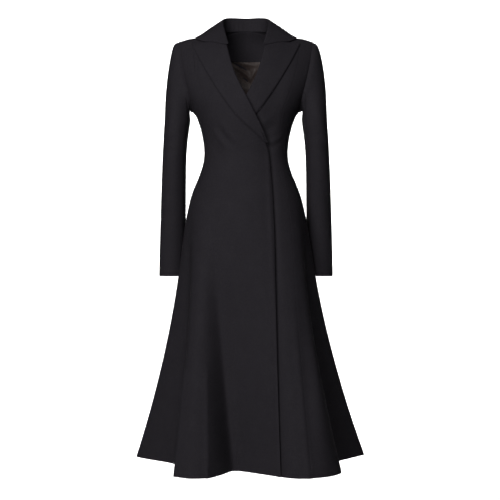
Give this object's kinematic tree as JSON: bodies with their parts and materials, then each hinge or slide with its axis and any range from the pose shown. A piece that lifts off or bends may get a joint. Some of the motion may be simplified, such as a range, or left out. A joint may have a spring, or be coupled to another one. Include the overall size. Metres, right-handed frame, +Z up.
{
  "type": "long coat",
  "caption": "Long fit-and-flare wool coat with peak lapels and princess seams, hollow as if worn, closed right over left.",
  "frame": {"origin": "between the wearer's shoulders, on the line of the shoulder seams, where the coat is held up", "axes": "+Z up, -Y the coat's front, +X the wearer's left"},
  "size_m": [0.6535, 0.5987, 1.2515],
  "materials": {
    "coat_cloth": "matte black wool crepe",
    "lining": "dark brown satin"
  },
  "bodies": {
    "root": {"front_right": "coat_cloth", "front_left": "coat_cloth", "side_front_right": "coat_cloth", "side_front_left": "coat_cloth", "side_back_right": "coat_cloth", "side_back_left": "coat_cloth", "back_right": "coat_cloth", "back_left": "coat_cloth", "sleeve_upper_right": "coat_cloth", "sleeve_upper_left": "coat_cloth", "sleeve_under_right": "coat_cloth", "sleeve_under_left": "coat_cloth", "lapel_right": "coat_cloth", "lapel_left": "coat_cloth", "collar": "coat_cloth", "back_neck_facing": "coat_cloth", "back_lining": "lining"}
  },
  "joints": []
}
